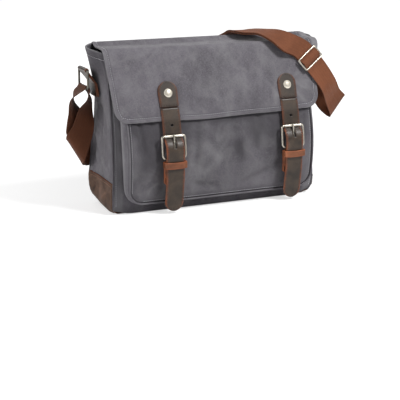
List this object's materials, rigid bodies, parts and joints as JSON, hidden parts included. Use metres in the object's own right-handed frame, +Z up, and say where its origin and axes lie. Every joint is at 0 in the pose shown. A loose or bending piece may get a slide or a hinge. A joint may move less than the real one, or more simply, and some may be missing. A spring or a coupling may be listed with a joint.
{
  "type": "messenger bag",
  "caption": "Flapped canvas messenger bag with a bellows front pocket, buckled leather closing straps over snaps and a webbing shoulder strap on side rings.",
  "frame": {"origin": "centre of the base's flat underside, on the floor", "axes": "+X to the right seen from the flap side, +Y to the back panel, +Z up"},
  "size_m": [0.504, 0.1587, 0.2957],
  "materials": {
    "canvas": "slate waxed canvas, mottled and creased",
    "leather": "dark oiled leather with lighter raw edges",
    "webbing": "reddish-brown herringbone webbing",
    "hardware": "antique silver",
    "lining": "black cotton lining"
  },
  "bodies": {
    "bag": {"back_panel": "canvas", "front_panel": "canvas", "base_panel": "canvas", "side_gusset_left": "canvas", "side_gusset_right": "canvas", "corner_patch_left": "leather", "corner_patch_right": "leather", "lining": "lining", "laptop_divider": "lining", "inner_zip": "lining", "front_pocket_panel": "canvas", "front_pocket_gusset": "canvas", "pocket_piping": "canvas", "flap_back": "canvas", "back_band": "webbing", "band_patch_left": "leather", "band_patch_right": "leather", "ring_tab_left": "leather", "ring_tab_right": "leather", "shoulder_webbing": "webbing", "snap_socket_left": "hardware", "snap_socket_right": "hardware", "snap_patch_left": "leather", "snap_patch_right": "leather"},
    "flap_top": {"flap_top": "canvas"},
    "flap_front": {"flap_front": "canvas", "strap_tab_left": "leather", "strap_tab_right": "leather", "rivet_left": "hardware", "rivet_right": "hardware"},
    "slider": {"strap_slider": "hardware"},
    "ring_left": {"side_ring_left": "hardware"},
    "ring_right": {"side_ring_right": "hardware"},
    "zip_slider": {"zip_slider": "hardware"},
    "strap_left": {"closing_strap_left": "leather", "buckle_chape_left": "leather", "keeper_left": "leather", "snap_stud_left": "hardware"},
    "buckle_left": {"buckle_frame_left": "hardware"},
    "roller_left": {"buckle_roller_left": "hardware"},
    "prong_left": {"buckle_prong_left": "hardware"},
    "strap_right": {"closing_strap_right": "leather", "buckle_chape_right": "leather", "keeper_right": "leather", "snap_stud_right": "hardware"},
    "buckle_right": {"buckle_frame_right": "hardware"},
    "roller_right": {"buckle_roller_right": "hardware"},
    "prong_right": {"buckle_prong_right": "hardware"}
  },
  "joints": [
    {"name": "flap_lift", "type": "hinge", "parent": "bag", "child": "flap_top", "pos_m": [0, 0.0265, 0.2869], "axis": [-1, 0, 0], "range_deg": [0, 180], "deforming": ["shoulder_webbing"]},
    {"name": "flap_fold", "type": "hinge", "parent": "flap_top", "child": "flap_front", "pos_m": [0, -0.03018, 0.2701], "axis": [-1, 0, 0], "range_deg": [0, 80], "deforming": ["shoulder_webbing"]},
    {"name": "strap_swing_left", "type": "hinge", "parent": "flap_front", "child": "strap_left", "pos_m": [-0.092, -0.06444, 0.1779], "axis": [-1, 0, 0], "range_deg": [0, 90]},
    {"name": "buckle_tilt_left", "type": "hinge", "parent": "strap_left", "child": "buckle_left", "pos_m": [-0.092, -0.08482, 0.095], "axis": [1, 0, 0], "range_deg": [0, 5]},
    {"name": "roller_spin_left", "type": "hinge", "parent": "buckle_left", "child": "roller_left", "pos_m": [-0.092, -0.07995, 0.13148], "axis": [1, 0, 0], "continuous": true},
    {"name": "prong_lift_left", "type": "hinge", "parent": "buckle_left", "child": "prong_left", "pos_m": [-0.092, -0.08482, 0.095], "axis": [1, 0, 0], "range_deg": [0, 4]},
    {"name": "strap_swing_right", "type": "hinge", "parent": "flap_front", "child": "strap_right", "pos_m": [0.129, -0.06444, 0.1779], "axis": [-1, 0, 0], "range_deg": [0, 90]},
    {"name": "buckle_tilt_right", "type": "hinge", "parent": "strap_right", "child": "buckle_right", "pos_m": [0.129, -0.08482, 0.095], "axis": [1, 0, 0], "range_deg": [0, 5]},
    {"name": "roller_spin_right", "type": "hinge", "parent": "buckle_right", "child": "roller_right", "pos_m": [0.129, -0.07995, 0.13148], "axis": [1, 0, 0], "continuous": true},
    {"name": "prong_lift_right", "type": "hinge", "parent": "buckle_right", "child": "prong_right", "pos_m": [0.129, -0.08482, 0.095], "axis": [1, 0, 0], "range_deg": [0, 4]},
    {"name": "ring_swing_left", "type": "hinge", "parent": "bag", "child": "ring_left", "pos_m": [-0.215, 0.00685, 0.237], "axis": [0, 1, 0], "range_deg": [0, 60], "deforming": ["shoulder_webbing"]},
    {"name": "ring_swing_right", "type": "hinge", "parent": "bag", "child": "ring_right", "pos_m": [0.215, 0.00685, 0.237], "axis": [0, -1, 0], "range_deg": [0, 60], "deforming": ["shoulder_webbing"]},
    {"name": "slider_slide", "type": "slide", "parent": "flap_front", "child": "slider", "axis": [0.5878, -0.26, -0.7661], "range_m": [-0.012, 0.012], "deforming": ["shoulder_webbing"]},
    {"name": "zip_run", "type": "slide", "parent": "bag", "child": "zip_slider", "axis": [1, 0, 0], "range_m": [0, 0.168]}
  ]
}
